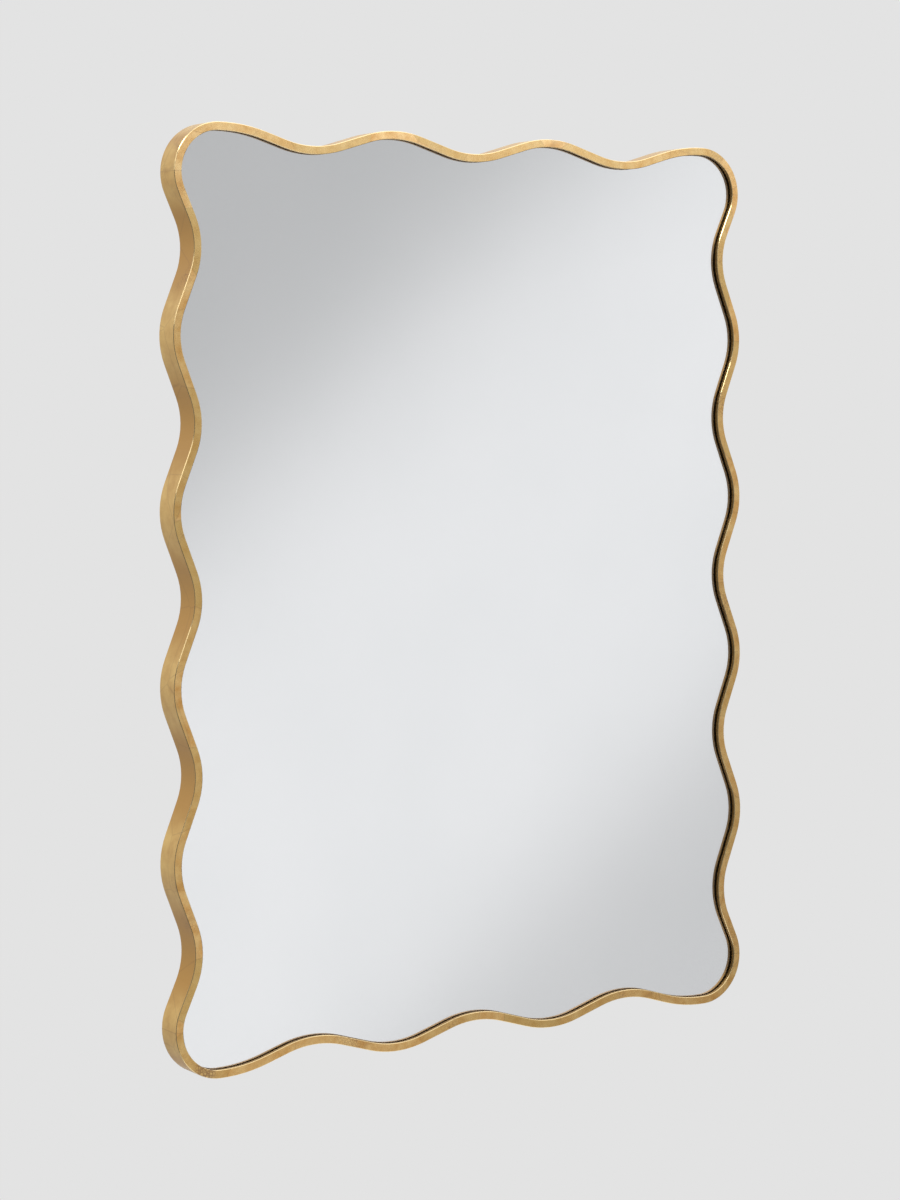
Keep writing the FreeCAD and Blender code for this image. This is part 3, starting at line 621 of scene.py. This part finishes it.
@dataclass(frozen=True)
class ZincPlate(Finish):
    """Bright zinc plate with a clear passivation: cool grey metal, faintly blue and yellow."""

    name: str = "zinc_plate"
    blue: tuple[float, str] = (0.32, "#AEB9C6")  # where it lies on the drift, and its tint
    grey: tuple[float, str] = (0.50, "#C4C7C8")
    yellow: tuple[float, str] = (0.70, "#CFC8B4")
    cloud_mm: float = 5.0
    scratch_mm: float = 0.35
    stroke: Triple = (1.0, 1.0, 0.12)  # draws the marks out upwards
    mark_span: Span = (0.35, 0.65)
    roughness: Span = (0.22, 0.40)
    mark_strength: float = 0.15
    mark_depth: float = 0.05 * MM

    def wire(self, add: AddNode) -> dict[str, Feed]:
        """Add drifting tints and fine handling marks.

        Args:
            add: adds a node to the material.

        Returns:
            What goes into the principled shader, by input name.
        """
        spot = add("TexCoord").outputs["Object"]
        drift = add("TexNoise", spot, named={"Scale": per_metre(self.cloud_mm), "Detail": 3.0})
        tints = add("ValToRGB", drift)
        stops = tints.color_ramp.elements
        stops.new(self.grey[0])
        for stop, (position, code) in zip(stops, (self.blue, self.grey, self.yellow)):
            stop.position = position
            stop.color = linear(code)
        drawn_out = add("Mapping", spot, named={"Scale": self.stroke})
        marks = add(
            "TexNoise", drawn_out, named={"Scale": per_metre(self.scratch_mm), "Detail": 2.0}
        )
        gloss = add("MapRange", marks, *self.mark_span, *self.roughness)
        bump = add("Bump", self.mark_strength, self.mark_depth, named={"Height": marks})
        return {"Base Color": tints, "Metallic": 1.0, "Roughness": gloss, "Normal": bump}


@dataclass(frozen=True)
class WeldMetal(Finish):
    """A weld left as laid: dark grey steel with brown and blue heat tint."""

    name: str = "weld_metal"
    grey: str = "#6A6765"
    brown: str = "#54402F"
    tint_mm: float = 3.0
    tint_span: Span = (0.35, 0.65)

    def wire(self, add: AddNode) -> dict[str, Feed]:
        """Add the heat tint as blotches.

        Args:
            add: adds a node to the material.

        Returns:
            What goes into the principled shader, by input name.
        """
        spot = add("TexCoord").outputs["Object"]
        blotch = add("TexNoise", spot, named={"Scale": per_metre(self.tint_mm), "Detail": 4.0})
        tinted = add("MapRange", blotch, *self.tint_span)
        colour = layered(add, linear(self.grey), (tinted, self.brown))
        return {"Base Color": colour, "Metallic": 1.0, "Roughness": 0.5}


class Slot(Enum):
    """The material slots of the record, each with the finish that its nodes get."""

    gilded_face = GoldLeaf()
    gilded_rim = GildedRim()
    black_foam = FoamTape()
    white_foam = FoamTape(name="white_foam_tape", dark="#C9C8C4", pale="#DAD9D5")
    mirror_glass = FloatGlass()
    fibreboard = Fibreboard()
    black_steel = PowderCoat()
    plated_steel = ZincPlate()


# -------------------------------------------------------------------------------- meshes


def grid_mesh(name: str, points: np.ndarray, material: bpy.types.Material) -> bpy.types.Object:
    """Make a closed piece from surfaces on grids that close round their second direction.

    Args:
        name: name of the piece.
        points: array of (surfaces, rows, columns, 3); the first and the last row of each
            surface shrink to a point.
        material: its finish.

    Returns:
        The new object, at the origin, with its faces pointing outwards.
    """
    count, rows, columns = points.shape[:3]
    index = np.arange(count * rows * columns).reshape(count, rows, columns)
    onward = np.roll(index, -1, axis=2)
    quads = np.stack(
        [index[:, :-1], onward[:, :-1], onward[:, 1:], index[:, 1:]], axis=-1
    ).reshape(-1, 4)
    mesh = bpy.data.meshes.new(name)
    mesh.from_pydata(points.reshape(-1, 3).tolist(), [], quads.tolist())
    shape = bmesh.new()
    shape.from_mesh(mesh)
    bmesh.ops.remove_doubles(shape, verts=shape.verts, dist=SAME_POINT)
    bmesh.ops.recalc_face_normals(shape, faces=shape.faces)
    shape.to_mesh(mesh)
    shape.free()
    mesh.materials.append(material)
    piece = bpy.data.objects.new(name, mesh)
    bpy.context.scene.collection.objects.link(piece)
    return piece


@dataclass
class Frame:
    """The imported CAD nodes, each given the finish of its slot."""

    nodes: dict[str, bpy.types.Object]
    subparts: list[dict[str, str]]

    def dress(self) -> None:
        """Give every node its finish. Nodes of one slot share one material."""
        finishes: dict[str, bpy.types.Material] = {}
        for part in self.subparts:
            slot = part["material_slot"]
            if slot not in finishes:
                finishes[slot] = Slot[slot].value.build()
            node = self.nodes[part["node"]]
            node.data.materials.clear()
            node.data.materials.append(finishes[slot])
            LOG.info("%s: %s", part["node"], finishes[slot].name)


@dataclass
class MirrorBack:
    """The silver layer on the back of the glass."""

    glass: bpy.types.Object
    inset: float = 0.6 * MM
    bite: float = 0.05 * MM
    rings: int = 6
    finish: Finish = field(default_factory=Silvering)

    def outline(self) -> np.ndarray:
        """Find the back edge of the glass.

        Returns:
            Its points as (count, 2), in order round the middle of the mirror.
        """
        mesh = self.glass.data
        points = np.empty(len(mesh.vertices) * 3)
        mesh.vertices.foreach_get("co", points)
        points = points.reshape(-1, 3)
        back = points[points[:, 1] > points[:, 1].max() - self.bite][:, (0, 2)]
        back = np.unique(np.round(back, 6), axis=0)
        return back[np.argsort(np.arctan2(back[:, 1], back[:, 0]))]

    def build(self) -> bpy.types.Object:
        """Make the layer: the outline shrunk towards its middle, ring by ring, on both sides.

        Returns:
            A thin closed sheet that bites into the back of the glass and stands as far out.
        """
        _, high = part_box("mirror_glass")
        edge = self.outline()
        reach = np.hypot(*edge.T)[:, None]
        edge = edge * (1 - self.inset / reach)
        share = np.linspace(0, 1, self.rings)
        share = np.concatenate([share, share[::-1]])
        depth = np.repeat([high[1] - self.bite, high[1] + self.bite], self.rings)
        points = np.empty((1, len(share), len(edge), 3))
        points[0, :, :, (0, 2)] = np.moveaxis(share[:, None, None] * edge[None], -1, 0)
        points[0, :, :, 1] = depth[:, None]
        sheet = grid_mesh("silver_layer", points, self.finish.build())
        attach(sheet, "mirror")
        LOG.info("silver_layer: %d points round its edge", len(edge))
        return sheet


class Rail(Enum):
    """A rail of the frame: the axis it faces along, and which way is outwards."""

    left = (0, -1)
    right = (0, 1)
    top = (2, 1)
    bottom = (2, -1)


@dataclass
class RailWelds:
    """Short fillet welds that hold the lugs and the hanger plates to the rim.

    Each bead runs along the back edge of a leg, where it meets the bent wall of the rim.
    """

    anchors: list[tuple[str, Rail]]
    side_bend: float = 76.7 * MM  # radius of the rim's inside face in a side's valley
    end_bend: float = 116.4 * MM  # the same at the top and the bottom
    lug_leg: float = 16.0 * MM
    plate_leg: float = 36.0 * MM
    gap: float = 1.0 * MM
    bead: float = 1.4 * MM
    ripple: float = 0.14
    ripple_pitch: float = 1.3 * MM
    bluntness: float = 0.3
    steps: int = 96
    sides: int = 14
    finish: Finish = field(default_factory=WeldMetal)

    def surface(self, node: str, rail: Rail) -> np.ndarray:
        """Work out one bead as a rippled tube round an arc, tapered to a point at each end.

        Args:
            node: the lug or plate that the bead holds.
            rail: the rail that it is welded to.

        Returns:
            Points as (steps, sides, 3): arc(u) + radius(u) * (cos v inwards + sin v back).
        """
        across, sign = rail.value
        along = 2 - across
        low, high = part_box(node)
        bend = self.side_bend if across == 0 else self.end_bend
        leg = self.lug_leg if node.startswith("retaining_lug") else self.plate_leg
        half = leg / 2 - self.gap
        middle = (low[along] + high[along]) / 2
        foot = (high[along] - low[along]) / 2
        sag = bend - math.sqrt(bend**2 - foot**2)
        outermost = high[across] if sign > 0 else low[across]
        wall = outermost - sign * sag

        run = np.linspace(-half, half, self.steps)
        lean = np.arcsin(run / bend)
        cos, sin = np.cos(lean)[:, None], np.sin(lean)[:, None]
        swell = 1 + self.ripple * np.cos(2 * np.pi * run / self.ripple_pitch)
        taper = np.clip(1 - (run / half) ** 2, 0, 1) ** self.bluntness
        radius = self.bead * swell * taper
        turn = np.linspace(0, 2 * np.pi, self.sides, endpoint=False)
        inwards = radius[:, None] * np.cos(turn)
        points = np.empty((self.steps, self.sides, 3))
        points[..., across] = wall + sign * (bend - bend * cos) - sign * inwards * cos
        points[..., along] = middle + run[:, None] + inwards * sin
        points[..., 1] = high[1] + radius[:, None] * np.sin(turn)
        return points

    def build(self) -> bpy.types.Object:
        """Make all the beads as one piece.

        Returns:
            The piece, which rides with the frame.
        """
        beads = np.stack([self.surface(node, rail) for node, rail in self.anchors])
        piece = grid_mesh("rail_welds", beads, self.finish.build())
        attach(piece, "mirror")
        LOG.info("rail_welds: %d beads", len(beads))
        return piece


# -------------------------------------------------------------------------------- studio


@dataclass
class Camera:
    """The viewpoint of the photograph, found from the outline of the frame."""

    spot: Triple = (-1.7684, -2.6840, 0.2319)
    yaw_deg: float = 33.19
    pitch_deg: float = 0.062
    roll_deg: float = -0.122
    focal_px: float = 2834.06
    axis_height_px: float = 377.83
    frame_height_px: float = 1200.0
    sensor_mm: float = 36.0
    clip_start: float = 0.05
    clip_end: float = 60.0

    def build(self) -> bpy.types.Object:
        """Make the camera and set it as the scene's own.

        Returns:
            The camera object. Its shift keeps the uprights parallel, as in the photograph.
        """
        yaw, pitch, roll = (math.radians(a) for a in (self.yaw_deg, self.pitch_deg, self.roll_deg))
        data = bpy.data.cameras.new("photo_camera")
        data.sensor_width = self.sensor_mm
        data.lens = self.focal_px / self.frame_height_px * self.sensor_mm
        data.shift_y = (self.axis_height_px - self.frame_height_px / 2) / self.frame_height_px
        data.clip_start = self.clip_start
        data.clip_end = self.clip_end
        camera = bpy.data.objects.new("photo_camera", data)
        forward = np.array(
            [math.sin(yaw) * math.cos(pitch), math.cos(yaw) * math.cos(pitch), math.sin(pitch)]
        )
        level = np.array([math.cos(yaw), -math.sin(yaw), 0.0])
        above = np.cross(level, forward)
        right = level * math.cos(roll) + above * math.sin(roll)
        up = -level * math.sin(roll) + above * math.cos(roll)
        turned = Matrix(np.column_stack([right, up, -forward]).tolist()).to_4x4()
        camera.matrix_world = Matrix.Translation(self.spot) @ turned
        bpy.context.scene.collection.objects.link(camera)
        bpy.context.scene.camera = camera
        LOG.info("photo_camera: lens %.2f mm, shift %.4f", data.lens, data.shift_y)
        return camera


@dataclass
class SoftLight:
    """A soft box that lights the frame and shows in metal, but not in the mirror."""

    name: str
    spot: Triple
    power: float
    size: Span
    colour: str = "#FFFFFF"

    def build(self) -> bpy.types.Object:
        """Make the lamp, aimed at the middle of the mirror.

        Returns:
            The lamp object.
        """
        data = bpy.data.lights.new(self.name, "AREA")
        data.shape = "RECTANGLE"
        data.size, data.size_y = self.size
        data.energy = self.power
        data.color = linear(self.colour)[:3]
        lamp = bpy.data.objects.new(self.name, data)
        lamp.location = self.spot
        lamp.rotation_euler = (-Vector(self.spot)).to_track_quat("-Z", "Y").to_euler()
        lamp.visible_camera = False
        lamp.visible_transmission = False
        bpy.context.scene.collection.objects.link(lamp)
        LOG.info("%s: %.1f W", self.name, self.power)
        return lamp


@dataclass(frozen=True)
class Pane:
    """A soft-edged rectangle of the room, given where the mirror's plane would show it.

    Each pair holds where the pane is gone and where it is full.
    """

    left: Span
    right: Span
    low: Span
    high: Span

    def build(self, add: AddNode, across: Feed, up: Feed) -> bpy.types.Node:
        """Add the nodes of the pane.

        Args:
            add: adds a node to the world.
            across: place on the mirror's plane, to the right.
            up: the same, upwards.

        Returns:
            1 inside the pane and 0 outside.
        """
        edges = ((across, self.left), (across, self.right), (up, self.low), (up, self.high))
        shares = [
            add("MapRange", place, *edge, interpolation_type=EASED) for place, edge in edges
        ]
        return reduce(partial(add, "Math", operation="MULTIPLY"), shares)


@dataclass
class Studio:
    """A pale room whose front is softly graded, a round floor that fades out, and lamps.

    The front of the room is what the mirror shows: a mid grey that brightens along a
    diagonal and falls off again. It is worked out on the mirror's plane, as seen by a
    camera that the plane reflects. To its lower right and on the left the room is dark.
    The soft box on the right hangs where the top rail, but not the mirror, shows it.
    """

    backdrop: str = "#E3E3E3"
    glass_return: float = 0.875
    dark_level: float = 0.479
    first_rise: float = 0.311
    second_fall: float = 0.215
    first_edge: Triple = (-51.34, -0.2916, 0.0571)  # angle in degrees, place and width
    second_edge: Triple = (-53.0, 0.3432, 0.0469)

    # the camera's place across and up, and its distance from the mirror's plane
    eye: Span = (-1.7684, 0.2319)
    eye_distance: float = 2.6594
    shade: Pane = Pane((0.372, 0.60), (9.0, 7.0), (-1.50, -0.80), (0.06, -0.30))
    shade_depth: float = 0.95

    # where a change starts and ends along a direction of the room, then the levels of
    # light there; the level before it is one where a single level is given
    left_wing: tuple[float, float, float, float] = (-0.20, -0.42, 1.0, 0.34)
    ceiling: Triple = (0.25, 0.65, 1.9)
    ground: Triple = (-0.35, -0.80, 0.4)
    rear: tuple[float, float, float, float] = (-0.35, 0.25, 0.66, 0.90)
    rear_ceiling: Triple = (0.60, 0.85, 2.0)
    rear_start: Span = (-0.30, -0.05)

    floor_level: float = -1.25
    floor_radius: float = 1.5
    floor_full: float = 0.35
    floor_corners: int = 96
    floor_tone: str = "#DCDCDC"
    lamps: tuple[SoftLight, ...] = (
        SoftLight("key_box", (-1.7, -1.5, 2.5), 38.0, (1.3, 1.3)),
        SoftLight("edge_box", (-2.1, -1.3, 1.2), 2.5, (0.8, 0.8)),
        SoftLight("top_box", (1.77, -2.66, 1.16), 9.5, (1.8, 0.7), "#D2DDFF"),
    )

    def build_world(self) -> None:
        """Make the room: a flat backdrop to the camera, a graded room to everything else."""
        world = bpy.data.worlds.new("studio")
        world.use_nodes = True
        bpy.context.scene.world = world
        world.node_tree.nodes.clear()
        add = partial(add_node, world.node_tree)
        times = partial(add, "Math", operation="MULTIPLY")
        ray = add("SeparateXYZ", add("TexCoord").outputs["Generated"])
        toward, height = ray.outputs["Y"], ray.outputs["Z"]
        slopes = [add("Math", ray.outputs[axis], toward, operation="DIVIDE") for axis in "XZ"]
        across, up = (
            add("Math", slope, -self.eye_distance, start, operation="MULTIPLY_ADD")
            for slope, start in zip(slopes, self.eye)
        )
        front = self.mirrored_front(add, across, up)
        dark = self.shade.build(add, across, up)
        shade = add("Math", dark, -self.shade_depth, 1.0, operation="MULTIPLY_ADD")

        changes = (
            (ray.outputs["X"], self.left_wing),
            (height, (*self.ceiling[:2], 1.0, self.ceiling[2])),
            (height, (*self.ground[:2], 1.0, self.ground[2])),
            (height, self.rear),
            (height, (*self.rear_ceiling[:2], 1.0, self.rear_ceiling[2])),
            (toward, self.rear_start),
        )
        wing, overhead, below, rear_wall, rear_overhead, is_rear = (
            add("MapRange", place, *change, interpolation_type=EASED) for place, change in changes
        )
        lit = reduce(times, (front, shade, wing, overhead, below))
        rear = reduce(times, (rear_wall, rear_overhead, below))
        room = add("Mix", is_rear, lit, rear, data_type="FLOAT")
        to_camera = add("LightPath").outputs["Is Camera Ray"]
        seen = add("Mix", to_camera, room, linear(self.backdrop), data_type="RGBA")
        add("OutputWorld", add("Background", seen))
        LOG.info("studio: room, seen as %s by the camera", self.backdrop)

    def mirrored_front(self, add: AddNode, across: Feed, up: Feed) -> bpy.types.Node:
        """Grade the front of the room: dark + rise * s(first edge) - fall * s(second edge).

        s is a logistic step across a slanting edge, given by its angle, place and width.

        Args:
            add: adds a node to the world.
            across: place on the mirror's plane, to the right.
            up: the same, upwards.

        Returns:
            The level of light, made up for what the glass and the silver swallow.
        """
        spot = add("CombineXYZ", across, up)
        level: Feed = self.dark_level
        for (slant, middle, width), step in (
            (self.first_edge, self.first_rise), (self.second_edge, -self.second_fall)
        ):
            angle = math.radians(slant)
            way = (math.cos(angle), math.sin(angle), 0)
            along = add("VectorMath", spot, way, operation="DOT_PRODUCT")
            steep = add(
                "Math", along, 0.5 / width, -0.5 * middle / width, operation="MULTIPLY_ADD"
            )
            # s(x) = (1 + tanh(x / 2)) / 2
            soft = add("Math", steep, operation="TANH")
            share = add("Math", soft, 0.5, 0.5, operation="MULTIPLY_ADD")
            level = add("Math", share, step, level, operation="MULTIPLY_ADD")
        return add("Math", level, self.glass_return, operation="DIVIDE")

    def build_floor(self) -> bpy.types.Object:
        """Make a round floor below the mirror, whose edge fades into the backdrop.

        Returns:
            The floor, which is staging and no part of the mirror.
        """
        material, add = new_material("studio_floor")
        spot = add("TexCoord").outputs["Object"]
        flat = add("VectorMath", spot, (1, 1, 0), operation="MULTIPLY")
        reach = add("VectorMath", flat, operation="LENGTH")
        full = self.floor_full * self.floor_radius
        fade = add("MapRange", reach, full, self.floor_radius, interpolation_type=EASED)
        paper = add("BsdfDiffuse", linear(self.floor_tone))
        add("OutputMaterial", add("MixShader", fade, paper, add("BsdfTransparent")))
        bpy.ops.mesh.primitive_circle_add(
            vertices=self.floor_corners, radius=self.floor_radius, fill_type="NGON",
            location=(0, 0, self.floor_level),
        )
        floor = bpy.context.object
        floor.name = "studio_floor"
        floor.data.materials.append(material)
        LOG.info("studio_floor: radius %.1f m", self.floor_radius)
        return floor

    def build(self) -> None:
        """Make the room, the floor and the lamps."""
        self.build_world()
        self.build_floor()
        for lamp in self.lamps:
            lamp.build()


# ---------------------------------------------------------------------------------- main


def welded_pieces(nodes: dict[str, bpy.types.Object]) -> list[tuple[str, Rail]]:
    """List the lugs and hanger plates with the rail that each is welded to.

    Args:
        nodes: the CAD nodes by name.

    Returns:
        Node name and rail, for every lug and plate.
    """
    # a lug's rail is the third word of its name, and a plate's is the fourth
    place = {"retaining_lug": 2, "hanger_plate": 3}
    return [
        (name, Rail[name.split("_")[word]])
        for kind, word in sorted(place.items())
        for name in sorted(nodes)
        if name.startswith(kind)
    ]


def main() -> None:
    """Build the scene: the dressed frame, its added pieces and the studio round them."""
    logging.basicConfig(level=logging.INFO, format="%(message)s")
    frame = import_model()
    bpy.context.scene.view_settings.view_transform = "Standard"

    Frame(frame["nodes"], frame["record"]["subparts"]).dress()
    MirrorBack(frame["nodes"]["mirror_glass"]).build()
    RailWelds(welded_pieces(frame["nodes"])).build()
    Studio().build()
    Camera().build()


if __name__ == "__main__":
    main()
